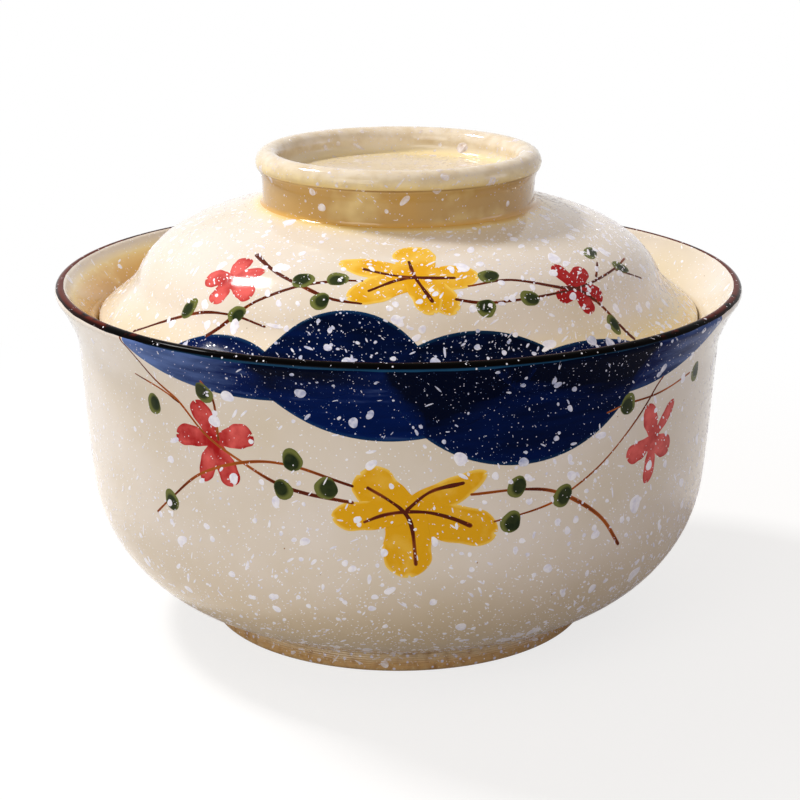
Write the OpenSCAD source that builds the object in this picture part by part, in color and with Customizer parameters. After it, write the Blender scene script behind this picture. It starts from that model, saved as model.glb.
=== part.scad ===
// Lidded noodle bowl in glazed stoneware, in millimetres.
// The bowl stands on its foot ring at height 0, with its axis on Z.
// The lid drops into the flared mouth and rests on the inside of the flare.

/* [Bowl] */
// Outside diameter of the rim
rim_d = 176; // [172:0.5:184]
// Height of the bowl, from the table to the top of the rim
bowl_h = 90; // [82:0.5:104]
// Thickness of the rounded lip at the rim
lip_t = 3.4; // [2.6:0.1:4.2]
// Lean of the lip outwards from upright, in degrees
lip_lean = 32; // [24:1:40]
// Height of the flared lip, from the waist up to the rim
lip_h = 15.2; // [13:0.2:18]
// Outside diameter at the waist, where the flare starts
waist_d = 164.8; // [162:0.2:167]
// Lean of the wall outwards at the waist, in degrees
waist_lean = 3.7; // [2:0.1:6]
// Outside diameter where the round belly turns into the wall
belly_d = 160; // [154:0.2:162]
// Height of that turn above the table
belly_z = 39.6; // [34:0.2:46]
// Lean of the wall outwards at that turn, in degrees
belly_lean = 5.5; // [3:0.1:9]
// Slope of the belly where it leaves the foot, in degrees
belly_slope = 13; // [8:0.5:20]
// Thickness of the wall
wall_t = 6.4; // [5:0.1:7]
// Thickness of the floor in the middle
floor_t = 6; // [5:0.1:8]

/* [Foot] */
// Outside diameter of the foot ring
foot_d = 100.6; // [90:0.2:110]
// Height of the foot ring
foot_h = 6; // [4.5:0.1:9]
// Thickness of the foot ring
foot_t = 7; // [5:0.1:10]
// Radius on the bottom edges of the foot ring
foot_edge = 1.2; // [0.5:0.1:2]

/* [Lid] */
// Height of the brim's edge above the waist of the bowl
seat_rise = 5.9; // [4.6:0.1:7]
// Clearance between the brim and the bowl
seat_clearance = 0.3; // [0.1:0.05:0.6]
// Thickness of the brim at its rounded edge
brim_t = 3.4; // [2.6:0.1:4.2]
// Slope of the brim downwards, in degrees
brim_slope = 40; // [32:1:48]
// Distance of the shoulder in from the brim's edge
shoulder_inset = 10.2; // [8:0.2:13]
// Height of the shoulder above the brim's edge
shoulder_rise = 10.8; // [9:0.2:13]
// Slope of the dome downwards at the shoulder, in degrees
shoulder_slope = 64; // [56:1:70]
// Thickness of the dome
lid_t = 4.8; // [3.8:0.1:5.6]
// Height of the dome at the foot of the knob, above the brim's edge
neck_rise = 28.4; // [25:0.2:32]
// Slope of the dome downwards at the foot of the knob, in degrees
neck_slope = 16; // [12:1:20]
// Height of the dome's middle above the foot of the knob
crown_rise = 3.8; // [3:0.1:5]

/* [Knob] */
// Largest diameter of the knob ring
knob_d = 73; // [71:0.2:78]
// Diameter of the knob ring at its neck
neck_d = 69.4; // [64:0.2:70]
// Height of the knob ring above the dome
knob_h = 13.5; // [12:0.1:16]
// Thickness of the knob ring's rolled edge
roll_t = 6.6; // [5:0.1:8]
// Depth of the dish inside the knob ring
dish_depth = 6.6; // [5:0.1:7]
// Radius where the dish's side meets its floor
dish_fillet = 2.4; // [1.5:0.1:3]
// Angle below level at which the rolled edge ends in a crease
crease_angle = 26; // [18:1:32]
// Depth of the crease under the rolled edge
crease_t = 0.3; // [0.1:0.05:0.5]

/* [Hidden] */
$fn = 120;
// Straight steps in each curve and in each rounded edge
curve_steps = 16;
edge_steps = 18;
// Share of a curve's length that its two ends keep their own direction
belly_pull = [0.335, 0.405];
wall_pull = [0.39, 0.41];
flare_pull = [0.26, 0.365];
floor_pull = [0.7, 0.28];
mouth_pull = [0.45, 0.3];
crown_pull = [0.35, 0.35];
dome_pull = [0.37, 0.35];
brim_pull = [0.35, 0.38];
knob_pull = [0.45, 0.35];

// Unit step in a direction, in degrees from outwards towards upwards
function heading(turn) = [cos(turn), sin(turn)];

// Rounded edge: points on a circle from one angle to another
function arc(centre, radius, from, to) =
    [for (i = [0:edge_steps]) centre + radius * heading(from + (to - from) * i / edge_steps)];

// The four control points of a curve between two stations.
// A station is a point and the direction in which the outline passes it.
function controls(a, b, pull) =
    let (reach = norm(b[0] - a[0]))
    [a[0], a[0] + reach * pull[0] * heading(a[1]), b[0] - reach * pull[1] * heading(b[1]), b[0]];

// Point of a cubic curve at t, and the direction to its left
function curve_point(p, t) =
    pow(1 - t, 3) * p[0] + 3 * t * pow(1 - t, 2) * p[1] + 3 * t * t * (1 - t) * p[2] + pow(t, 3) * p[3];
function curve_left(p, t) =
    let (d = pow(1 - t, 2) * (p[1] - p[0]) + 2 * t * (1 - t) * (p[2] - p[1]) + t * t * (p[3] - p[2]))
    [-d.y, d.x] / norm(d);

// Curve between two stations, moved to its left by a distance that goes from one value to another
function curve(a, b, pull, from = 0, to = 0) =
    let (p = controls(a, b, pull))
    [for (i = [0:curve_steps])
        let (t = i / curve_steps)
        curve_point(p, t) + (from + (to - from) * t) * curve_left(p, t)];

// A station moved to the left of its own direction
function moved_left(a, distance) = [a[0] + distance * heading(a[1] + 90), a[1]];

// Outlines joined end to start, without repeating the shared points
function joined(lines) =
    [for (n = [0:len(lines) - 1]) for (i = [min(n, 1):1:len(lines[n]) - 1]) lines[n][i]];
function backwards(points) = [for (i = [len(points) - 1:-1:0]) points[i]];

// Stations of the bowl's outline, from the foot up to the lip
foot_r = foot_d / 2;
lip_r = lip_t / 2;
lip_centre = [rim_d / 2 - lip_r, bowl_h - lip_r];
waist_z = bowl_h - lip_h;
foot_station = [[foot_r, foot_h], belly_slope];
belly_station = [[belly_d / 2, belly_z], 90 - belly_lean];
waist_station = [[waist_d / 2, waist_z], 90 - waist_lean];
lip_station = [lip_centre + lip_r * heading(-lip_lean), 90 - lip_lean];

bowl_outside = joined([
    curve(foot_station, belly_station, belly_pull),
    curve(belly_station, waist_station, wall_pull),
    curve(waist_station, lip_station, flare_pull)]);
bowl_lip = arc(lip_centre, lip_r, -lip_lean, 180 - lip_lean);

// Stations of the bowl's inside, from the middle of the floor up to the lip
floor_station = [[0, foot_h + floor_t], 0];
inner_belly_station = moved_left(belly_station, wall_t);
inner_waist_station = moved_left(waist_station, wall_t);
inner_lip_station = moved_left(lip_station, lip_t);

bowl_inside = joined([
    curve(floor_station, inner_belly_station, floor_pull),
    curve(inner_belly_station, inner_waist_station, wall_pull),
    curve(inner_waist_station, inner_lip_station, mouth_pull)]);

// The brim's edge is a circle that rolls on the inside of the mouth at the seat clearance
brim_r = brim_t / 2;
brim_gap = brim_r + seat_clearance;
seat_path = curve(inner_waist_station, inner_lip_station, mouth_pull, brim_gap, brim_gap);
seat_z = waist_z + seat_rise;
brim_centre = [lookup(seat_z, [for (p = seat_path) [p.y, p.x]]), seat_z];

// Stations of the lid's outline, from the middle out to the brim
neck_r = neck_d / 2;
neck_z = seat_z + neck_rise;
crown_station = [[0, neck_z + crown_rise], 0];
neck_station = [[neck_r, neck_z], -neck_slope];
shoulder_station = [[brim_centre.x + brim_r - shoulder_inset, seat_z + shoulder_rise], -shoulder_slope];
brim_station = [brim_centre + brim_r * heading(90 - brim_slope), -brim_slope];

crown_line = curve(crown_station, neck_station, crown_pull);
lid_outside = joined([
    crown_line,
    curve(neck_station, shoulder_station, dome_pull),
    curve(shoulder_station, brim_station, brim_pull)]);
lid_brim = arc(brim_centre, brim_r, 90 - brim_slope, -90 - brim_slope);
lid_inside = joined([
    curve(crown_station, neck_station, crown_pull, -lid_t, -lid_t),
    curve(neck_station, shoulder_station, dome_pull, -lid_t, -lid_t),
    curve(shoulder_station, brim_station, brim_pull, -lid_t, -brim_t)]);

// The knob ring's rolled edge, the crease under it and the dish inside it
roll_r = roll_t / 2;
knob_top = neck_z + knob_h;
roll_centre = [knob_d / 2 - roll_r, knob_top - roll_r];
crease_point = roll_centre + roll_r * heading(-crease_angle) - [crease_t, 0];
dish_r = roll_centre.x - roll_r;
dish_z = knob_top - dish_depth;
knob_side = curve([neck_station[0], 90], [crease_point, 90 - crease_angle], knob_pull);
knob_roll = arc(roll_centre, roll_r, -crease_angle, 180);
knob_dish = arc([dish_r - dish_fillet, dish_z + dish_fillet], dish_fillet, 0, -90);

// The thrown bowl, without its foot
module bowl_body() {
    color("ivory")
        rotate_extrude()
            polygon(concat([[0, foot_h]], joined([bowl_outside, bowl_lip, backwards(bowl_inside)])));
}

// The ring that the bowl stands on, joined to its underside
module foot_ring() {
    color("tan")
        rotate_extrude()
            polygon(concat(
                arc([foot_r - foot_t + foot_edge, foot_edge], foot_edge, 180, 270),
                arc([foot_r - foot_edge, foot_edge], foot_edge, 270, 360),
                [[foot_r, foot_h], [foot_r - foot_t, foot_h]]));
}

// The domed lid with its flared brim
module lid_dome() {
    color("ivory")
        rotate_extrude()
            polygon(joined([lid_outside, lid_brim, backwards(lid_inside)]));
}

// The dished ring on top that the lid is lifted by, joined to the crown of the dome
module knob_ring() {
    color("wheat")
        rotate_extrude()
            polygon(concat(joined([crown_line, knob_side]), knob_roll, knob_dish, [[0, dish_z]]));
}

bowl_body();
foot_ring();
lid_dome();
knob_ring();
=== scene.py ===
"""Finish, painting and studio of a lidded noodle bowl in glazed stoneware.

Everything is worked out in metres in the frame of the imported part: the bowl stands on
Z = 0 with its axis on Z, and the front of the painting faces -Y.
"""

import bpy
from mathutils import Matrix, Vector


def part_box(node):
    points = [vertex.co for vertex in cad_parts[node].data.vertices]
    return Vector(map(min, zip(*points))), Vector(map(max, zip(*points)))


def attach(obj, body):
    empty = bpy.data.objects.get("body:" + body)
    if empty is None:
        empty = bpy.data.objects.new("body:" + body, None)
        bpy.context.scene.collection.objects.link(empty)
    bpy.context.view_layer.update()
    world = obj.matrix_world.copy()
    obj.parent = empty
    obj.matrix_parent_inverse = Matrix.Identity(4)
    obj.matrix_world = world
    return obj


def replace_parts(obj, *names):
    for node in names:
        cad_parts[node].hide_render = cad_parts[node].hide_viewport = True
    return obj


bl_info = {
    "name": "Lidded Noodle Bowl",
    "version": (1, 0, 0),
    "blender": (4, 5, 0),
    "location": "View3D > Sidebar > Noodle Bowl",
    "description": "Builds the clay, the glaze, the painting and the studio of a lidded noodle bowl",
    "category": "Object",
}

import bpy
import numpy as np
from bpy.props import FloatProperty, FloatVectorProperty, IntProperty, PointerProperty
from bpy.types import Operator, Panel, PropertyGroup
from mathutils import Vector

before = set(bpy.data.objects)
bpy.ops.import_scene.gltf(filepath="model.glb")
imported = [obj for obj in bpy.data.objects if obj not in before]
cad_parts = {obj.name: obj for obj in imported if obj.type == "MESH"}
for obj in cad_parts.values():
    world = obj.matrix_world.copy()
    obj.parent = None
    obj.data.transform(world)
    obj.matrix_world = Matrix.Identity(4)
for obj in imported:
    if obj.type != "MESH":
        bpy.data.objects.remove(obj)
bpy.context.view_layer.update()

MM = 0.001
TURN = 2 * np.pi
UPRIGHT = np.pi / 2
# Angle a little short of upright, at which the ends of a round shape are cut off.
NEAR_UPRIGHT = 1.5
# Share of the golden section.
GOLDEN = 0.618
# Radius below which a point lies on the axis, and distance below which two points are one, in metres.
ON_AXIS = 1e-7
SAME_POINT = 1e-6

# Fineness of the turned surfaces: steps around, along a curve and around a rounded edge.
AROUND = 288
CURVE_STEPS = 30
EDGE_STEPS = 20
# Fineness of the painting: columns across a wash and across an overlap, rows down the rim's band, and
# steps along a ground by which drops are shared out.
WASH_COLUMNS = 52
OVERLAP_COLUMNS = 34
BAND_ROWS = 17
DROP_STEPS = 600

# Room for glaze and paint inside the CAD outline.
COAT_ROOM = 0.15 * MM
# Depth to which a coat's border sinks into the glaze, in millimetres.
SINK = 0.05

# Height of each coat over the glaze in millimetres, from the first painted to the last. Each dab of a flower
# lies a step higher than the one before.
COBALT_LIFT = 0.02
OVERLAP_LIFT = 0.03
FLOWER_LIFT = 0.012
DAB_STEP = 0.002
VINE_LIFT = 0.03
LEAF_LIFT = 0.034
DROP_LIFT = 0.04
RIM_LIFT = 0.044

# Distance from the edge that stands for a place with no edge near it, and width of the outermost line of
# a coat, all of which counts as its edge, in millimetres.
NO_EDGE = 9
EDGE_LINE = 0.15

# Iron band on the rim, in millimetres from the rim's crest: its inner and its outer edge, and how much
# lower the outer edge lies at the front and at the back.
BAND_EDGES = (-0.5, 2.15)
BAND_SWELL = 0.35
# Waves along the band: how many go round it and how deep they are in millimetres, and the share of them
# that its inner and its outer edge take.
BAND_WAVES = ((3, 0.12), (11, 0.1), (29, 0.08), (67, 0.05))
BAND_WANDER = (0.3, 0.6)
# Degrees to the right of the front and of the back where the band's brush was most loaded.
BAND_LOADED = 5

# Stretch below a wash's top edge over which it follows the tight round of the lip, and stretch over which
# a second wash deepens from its outline, in millimetres.
LIP_REACH = 2.4
OVERLAP_REACH = 12

# The painting is the same on the front and on the back.
SIDES = (0, 180)

# Share of a curve's length that its two ends keep their own direction.
BELLY_PULL = (0.335, 0.405)
WALL_PULL = (0.39, 0.41)
FLARE_PULL = (0.26, 0.365)
FLOOR_PULL = (0.7, 0.28)
MOUTH_PULL = (0.45, 0.3)
CROWN_PULL = (0.35, 0.35)
DOME_PULL = (0.37, 0.35)
BRIM_PULL = (0.35, 0.38)
KNOB_PULL = (0.45, 0.35)

# Pools of glaze: a place along the outline in millimetres, and how much glaze pooled there, from 0 to 1.
# A little of it is straw-coloured and much of it honey-coloured.
# On the bowl the pools inside below the mouth, in the gap under the lid's brim, are partly pooled glaze and
# partly painted shade of that gap.
BOWL_POOLS = ((-141, 0.3), (-70, 0.3), (-20, 0.45), (-13, 0.56), (-9, 0.54), (-6, 0.42), (-3.5, 0.16),
              (-2, 0))
LID_POOLS = ((-3, 0.9), (0.8, 0.8), (2.6, 0.3), (6, 0.03), (20, 0), (40, 0.02), (45, 0.2), (50, 0.38),
             (54, 0.3))
# On the knob the straw pool on the dish floor is partly pooled glaze and partly painted light, which
# lightens and warms the floor.
KNOB_POOLS = ((0, 0.12), (20, 0.12), (27, 0.3), (29, 0.36), (31, 0.14), (34, 0.06), (40, 0.1), (43.6, 0.6),
              (44.8, 1))
FOOT_POOLS = ((0, 0),)
# Share by which the pools are thicker on the left and thinner on the right, or the reverse below 0. This
# lean is painted shade: on the bowl it deepens the pools inside on the left, which faces away from the
# light, and on the lid it deepens them on the right, which is turned from the light and takes the knob's
# shadow.
BOWL_POOL_SHADE_DRIFT = 0.94
LID_POOL_SHADE_DRIFT = -0.6

# Camera: where it stands in metres, its tilt in degrees, and its lens and sensor in millimetres.
CAMERA_PLACE = (0.0004, -0.5, 0.2072)
CAMERA_TILT = 73.1
CAMERA_LENS = 89.08
CAMERA_SENSOR = 36

# Lamps: direction from the object, distance and side in metres, watts and colour.
LAMP_TARGET = (0, 0, 0.07)
LAMPS = {
    "key": ((-0.55, 0.28, 0.78), 1.2, 0.2, 12.9, "#FFFEFC"),
    "fill": ((-0.52, -0.78, 0.34), 1.5, 0.9, 8.5, "#FFFDFA"),
    "right": ((0.97, -0.12, 0.14), 1.5, 0.6, 2.5, "#D4DCFF"),
}
# Light from all round, as a share of white.
ROOM_LEVEL = 0.42
ROOM_COLOUR = "#FFEEDE"
# Paper floor: its reach, where it starts and ends to fade to plain white, in metres, the share of plain
# white that the camera sees near the object, its colour and the colour of the light that it throws back.
FLOOR_REACH = 6.0
FLOOR_FADE = (0.1, 0.3)
FLOOR_SHARE = 0.75
PAPER = "#F9F9F9"
PAPER_BOUNCE = "#B8B8B8"
WHITE = "#FFFFFF"

# Places on the painting are an angle from the front in degrees, positive to the right,
# and a distance in millimetres: down from the rim on the bowl, out from the knob on the lid.

# Cobalt washes: middle, half width in degrees, depth in millimetres, strength at the two ends.
BOWL_SCALLOPS = (
    (-24, 22.5, 11.8, 0.02, 1.15),
    (-1.5, 22, 20.1, 0.68, 0.7),
    (20.5, 23, 27.3, 0.95, 1.0),
    (38, 24, 14.2, 1.4, 0.05),
)
LID_HILLS = (
    (-34, 13, 11.2, 0.6, 1),
    (-10, 17, 20.2, 1.05, 1.1),
    (14.5, 18, 15, 1.2, 1.25),
    (36, 16, 9, 1.25, 0.8),
)
# Rows of washes: the washes, the place of their straight edge and the way they go from it. The scallops
# hang from just under the rim, and the hills rise from the edge of the brim.
SCALLOPS = (BOWL_SCALLOPS, 1.4, 1)
HILLS = (LID_HILLS, 53, -1)

# Drops of each kind: the spread of their sizes, how far the longest are drawn out, and their corners.
DROP_KINDS = {"fine": (0.45, 6, 6), "middling": (0.38, 7, 12), "large": (0.36, 2.2, 20)}
# Smallest and largest radius of a drop in millimetres.
DROP_RADII = (0.08, 2.4)
# Degrees that the drops are drawn towards the right, where they lie closest.
DRIFT = 17
# Degrees from upright at which the drops flew to each ground, and how much that varied.
BOWL_FLIGHT = -38
FOOT_FLIGHT = -70
LID_FLIGHT = 50
FLIGHT_SPREAD = 24

# Flowers: the middle, how loaded the brush was, then each petal's clock direction in degrees, length
# and width in millimetres, and how blunt its end is.
BOWL_RED = (
    ((-30.5, 25), 0.25, (
        (331, 10.6, 5.6, 3.2), (272, 12.0, 5.4, 3.2), (70, 10.4, 6.0, 3.4), (205, 11.6, 4.6, 2.2),
        (160, 11.4, 5.8, 3.4))),
    ((47.4, 29.5), 0.05, (
        (347, 9.8, 5.4, 2.0), (46, 11.4, 3.4, 2.6), (122, 8.8, 5.8, 2.6), (248, 9.8, 5.4, 3.0),
        (183, 11.2, 4.2, 3.0))),
)
LID_RED = (
    ((-40, 27.7), 0, (
        (351, 7.2, 5.2, 3.2), (258, 8.4, 5.2, 2.6), (58, 8.0, 3.8, 2.4), (190, 7.8, 5.0, 3.4),
        (116, 9.4, 5.2, 2.6))),
    ((41, 31), 0.85, (
        (354, 8.0, 4.6, 2.6), (52, 8.8, 4.8, 2.6), (110, 8.8, 5.0, 3.0), (164, 7.4, 4.6, 2.6),
        (250, 6.6, 4.0, 2.4))),
)
BOWL_YELLOW = (
    ((0.9, 38.5), 0.8, (
        (311, 13.8, 10.5, 2.6), (67, 21.0, 7.0, 1.5), (105, 22.6, 9.4, 3.0), (172, 16.6, 11.5, 2.2),
        (261, 16.6, 7.4, 2.4))),
)
LID_YELLOW = (
    ((4, 23), 0.5, (
        (1, 12.8, 10.0, 2.6), (289, 18.4, 7.6, 1.6), (247, 17.6, 7.8, 1.6), (94, 15.0, 8.6, 2.0),
        (139, 14.0, 7.0, 2.2), (163, 11.4, 7.0, 2.2))),
)
# Petals: their width at the flower's middle as a share of the full one, and how far their ends are notched.
RED_PETAL = (0.45, 0.08)
YELLOW_PETAL = (0.8, 0.04)

# Vines: the width in millimetres at the start and at the end, then the places that the brush passed.
BOWL_VINES = (
    (0.45, 0.8, ((-47, 2), (-43, 12), (-37.5, 17.5), (-32.5, 24), (-26, 29), (-18, 34), (-7, 36.5))),
    (0.35, 0.6, ((-47.5, 13), (-42, 15), (-37.5, 17.5))),
    (0.5, 0.75, ((-45.5, 47.5), (-41, 42), (-34, 34), (-25, 29), (-17, 28.5), (-7, 32.5))),
    (0.5, 0.7, ((-32, 10), (-30.5, 15), (-30, 25))),
    (0.6, 1.0, ((11.5, 34.8), (20, 34.7), (27, 37), (35.5, 45), (41, 54.5))),
    (0.45, 0.5, ((15.5, 42), (23.5, 40), (27.5, 38), (35, 32), (43, 22.5), (48.5, 14))),
    (0.4, 0.5, ((35.5, 19.5), (40, 18.5), (48, 18.2), (58, 16.5))),
)
LID_VINES = (
    (0.7, 0.4, ((-60, 48.5), (-53, 42.5), (-44, 38), (-35, 37), (-27, 38.5))),
    (0.8, 0.5, ((-40, 43.5), (-34.5, 36.5), (-30, 32), (-22, 27), (-13.5, 24.6), (-8, 24.3))),
    (0.9, 0.5, ((-40, 18.5), (-30, 23.7), (-22, 27), (-14.5, 30), (-7.5, 31))),
    (0.5, 0.8, ((15.5, 26.5), (26, 25.7), (37.5, 30), (42, 31.5), (48, 39.5), (50, 47.5))),
    (0.6, 0.4, ((12, 30), (18.5, 31.5), (29, 31.5), (43, 31), (53, 29.8), (66.5, 28))),
    (0.5, 0.4, ((49.5, 29.6), (54.5, 25.7))),
    (0.5, 0.4, ((58, 29.5), (66.5, 34.5))),
)
# How loaded the vines' brush was, and how many times the width it drew.
BOWL_BRUSH = (0.35, 1.12)
LID_BRUSH = (0.95, 1.35)

# Veins in the yellow flowers: the places that the brush passed, its width in millimetres at the start and
# at the end, and how loaded it was.
BOWL_VEINS = (
    ((-5, 32.5), (-1.6, 35.5), (0.9, 38.5), (2.2, 42.5), (2.9, 52)),
    ((1.2, 38.2), (5.2, 33.6), (10.6, 31.8)),
    ((-5.6, 41.2), (-2.4, 39.3), (0.9, 38.5), (4.7, 38.7), (8.5, 40.3), (12, 42.7)),
)
LID_VEINS = (
    ((2.7, 16.6), (4, 23), (7.3, 30.7)),
    ((-8.8, 20), (-2, 22), (4, 23), (13.5, 23.6)),
    ((-6.7, 27.5), (-0.5, 24), (4, 23)),
)
VEIN_WIDTHS = (0.8, 1.05)
VEIN_LOAD = 0.8

# Leaves: the place, the clock direction in degrees, the length and the width in millimetres.
BOWL_LEAVES = (
    (-43.7, 19.5, 350, 5.2, 4.5), (-32, 13.4, 345, 5.6, 4.9), (-41.3, 42.8, 340, 5.5, 4.5),
    (-17, 27, 340, 5.7, 4.9), (-18.7, 34.5, 330, 5.2, 4.6), (-11.5, 33.2, 10, 5.6, 5.5),
    (19.3, 33.9, 20, 5.5, 4.6), (27.7, 37.8, 30, 6.0, 4.9), (18.5, 42.4, 25, 5.7, 5.0),
    (40.2, 18.5, 10, 5.4, 4.8), (60.2, 17, 5, 5.2, 4.3),
)
LID_LEAVES = (
    (-47.7, 37.7, 30, 6.0, 4.0), (-34.5, 36.5, 60, 5.2, 4.0), (-22, 25.3, 80, 5.6, 4.8),
    (-14, 24, 95, 5.4, 4.4), (-16.6, 30.8, 30, 4.8, 4.6), (21.5, 23.8, 80, 5.4, 4.2),
    (18.4, 32.8, 60, 5.0, 4.6), (28.8, 31.5, 100, 5.0, 4.3), (47.4, 42.1, 190, 5.8, 3.6),
    (56, 22.5, 70, 6.6, 3.5), (61, 29.5, 120, 5.8, 3.7),
)
# Share of a leaf's half size by which its thick enamel lies off its middle.
LEAF_LEAN = 0.24


def linear(code):
    """Turns an sRGB hex colour into linear red, green and blue."""
    value = np.array([int(code[i:i + 2], 16) for i in (1, 3, 5)]) / 255
    return tuple(np.where(value <= 0.04045, value / 12.92, ((value + 0.055) / 1.055) ** 2.4).tolist())


def size(name, description, millimetres):
    """A length that a user can change, written in millimetres and held in metres."""
    return FloatProperty(name=name, description=description, default=millimetres * MM, min=0,
                         precision=5, subtype="DISTANCE", unit="LENGTH")


def lean(name, description, degrees):
    """An angle that a user can change, written in degrees and held in radians."""
    return FloatProperty(name=name, description=description, default=np.radians(degrees), subtype="ANGLE")


def colour(name, description, code):
    """A colour that a user can change, written as an sRGB hex value."""
    return FloatVectorProperty(name=name, description=description, default=linear(code), min=0, max=1,
                               size=3, subtype="COLOR")


def per_area(name, description, count):
    """A number of drops to a square centimetre that a user can change."""
    return FloatProperty(name=name, description=description, default=count, min=0)


def top_of(node):
    """Height of a CAD node's top in millimetres."""
    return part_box(node)[1].z / MM


def width_of(node):
    """Width of a CAD node in millimetres."""
    low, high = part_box(node)
    return (high.x - low.x) / MM


class BOWL_PG_bowl(PropertyGroup):
    """Sizes of the bowl and of its foot"""

    rim_d: size("Rim diameter", "Outside diameter of the rim", width_of("bowl_body"))
    height: size("Height", "Height of the bowl, from the table to the top of the rim", top_of("bowl_body"))
    lip_t: size("Lip thickness", "Thickness of the rounded lip at the rim", 3.4)
    lip_lean: lean("Lip lean", "Lean of the lip outwards from upright", 32)
    lip_h: size("Lip height", "Height of the flared lip, from the waist up to the rim", 15.2)
    waist_d: size("Waist diameter", "Outside diameter at the waist, where the flare starts", 164.8)
    waist_lean: lean("Waist lean", "Lean of the wall outwards at the waist", 3.7)
    belly_d: size("Belly diameter", "Outside diameter where the round belly turns into the wall", 160)
    belly_z: size("Belly height", "Height of that turn above the table", 39.6)
    belly_lean: lean("Belly lean", "Lean of the wall outwards at that turn", 5.5)
    belly_slope: lean("Belly slope", "Slope of the belly where it leaves the foot", 13)
    wall_t: size("Wall thickness", "Thickness of the wall", 6.4)
    floor_t: size("Floor thickness", "Thickness of the floor in the middle", 6)
    foot_d: size("Foot diameter", "Outside diameter of the foot ring", width_of("foot_ring"))
    foot_h: size("Foot height", "Height of the foot ring", top_of("foot_ring"))
    foot_t: size("Foot thickness", "Thickness of the foot ring", 7)
    foot_edge: size("Foot edge", "Radius on the bottom edges of the foot ring", 1.2)
    foot_fillet: size("Foot fillet", "Radius where the foot runs into the belly", 1.4)
    ridge_pitch: size("Ridge pitch", "Distance between the turning ridges on the foot", 1.15)
    ridge_depth: size("Ridge depth", "Depth of the turning ridges on the foot", 0.16)


class BOWL_PG_lid(PropertyGroup):
    """Sizes of the lid and of its knob"""

    seat_rise: size("Seat rise", "Height of the brim's edge above the waist of the bowl", 5.9)
    brim_d: size("Brim diameter", "Outside diameter of the brim", width_of("lid_dome"))
    brim_t: size("Brim thickness", "Thickness of the brim at its rounded edge", 3.4)
    brim_slope: lean("Brim slope", "Slope of the brim downwards", 40)
    shoulder_inset: size("Shoulder inset", "Distance of the shoulder in from the brim's edge", 10.2)
    shoulder_rise: size("Shoulder rise", "Height of the shoulder above the brim's edge", 10.8)
    shoulder_slope: lean("Shoulder slope", "Slope of the dome downwards at the shoulder", 64)
    dome_t: size("Dome thickness", "Thickness of the dome", 4.8)
    neck_rise: size("Neck rise", "Height of the dome at the foot of the knob, above the brim's edge", 28.4)
    neck_slope: lean("Neck slope", "Slope of the dome downwards at the foot of the knob", 16)
    crown_rise: size("Crown rise", "Height of the dome's middle above the foot of the knob", 3.8)
    knob_d: size("Knob diameter", "Largest diameter of the knob ring", width_of("knob_ring"))
    knob_top: size("Knob top", "Height of the knob's top above the table", top_of("knob_ring"))
    neck_d: size("Neck diameter", "Diameter of the knob ring at its neck", 69.4)
    roll_t: size("Roll thickness", "Thickness of the knob ring's rolled edge", 6.6)
    dish_depth: size("Dish depth", "Depth of the dish inside the knob ring", 6.6)
    dish_fillet: size("Dish fillet", "Radius where the dish's side meets its floor", 2.4)
    crease_angle: lean("Crease angle", "Angle below level at which the rolled edge ends in a crease", 26)
    crease_t: size("Crease depth", "Depth of the crease under the rolled edge", 0.3)
    neck_fillet: size("Neck fillet", "Radius of the glaze that pooled round the foot of the knob", 1.3)


class BOWL_PG_paint(PropertyGroup):
    """Colours of the glazes and of the painting"""

    ivory: colour("Ivory", "Main glaze", "#DFD6CC")
    ivory_shade: colour("Ivory shade", "Main glaze where it is thin and the clay shows", "#D6CAB6")
    honey: colour("Honey", "Glaze where it pooled thick", "#C8983C")
    straw: colour("Straw", "Glaze where it pooled a little", "#E6D194")
    wheat: colour("Wheat", "Glaze on the side of the knob", "#B89454")
    # Sand low on the belly is painted shade; on the knob and the foot it is mottling.
    sand: colour("Sand", "Glaze low on the belly, and mottling of the knob and the foot", "#C8B38F")
    tan: colour("Tan", "Glaze on the foot", "#D2BC98")
    tan_dark: colour("Dark tan", "Turning lines on the foot, and iron in the glaze", "#8A5E30")
    # Amber at the bottom of the belly is painted shade.
    amber: colour("Amber", "Glaze where it ran out, at the bottom of the belly and of the foot", "#B88C4C")
    iron: colour("Iron", "Rim where the iron glaze is thick", "#040303")
    iron_thin: colour("Thin iron", "Rim where the iron glaze is thin", "#561A0A")
    cobalt: colour("Cobalt", "Cobalt wash at full strength", "#021850")
    cobalt_dark: colour("Dark cobalt", "Cobalt where two washes overlap", "#01071F")
    cobalt_thin: colour("Thin cobalt", "Cobalt where the brush ran dry", "#6079B4")
    teal: colour("Teal", "Edge of a cobalt wash", "#245C88")
    red: colour("Red", "Red enamel where it is thick", "#A40C0E")
    red_thin: colour("Thin red", "Red enamel where it is thin", "#E0625E")
    yellow: colour("Yellow", "Yellow enamel where it is thin", "#EFC95A")
    yellow_thick: colour("Thick yellow", "Yellow enamel where it is thick", "#E0A60E")
    green: colour("Green", "Green enamel where it is thick", "#081C0A")
    olive: colour("Olive", "Green enamel where it is thin", "#6A7038")
    vine: colour("Vine", "Vines where the brush ran light", "#A8571E")
    vine_dark: colour("Dark vine", "Vines where the brush was loaded", "#541C0A")
    snow: colour("Snow", "Spattered white glaze", "#F3F3FC")
    snow_thin: colour("Thin snow", "Spattered white glaze where it is thin", "#D6D5EA")


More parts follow.
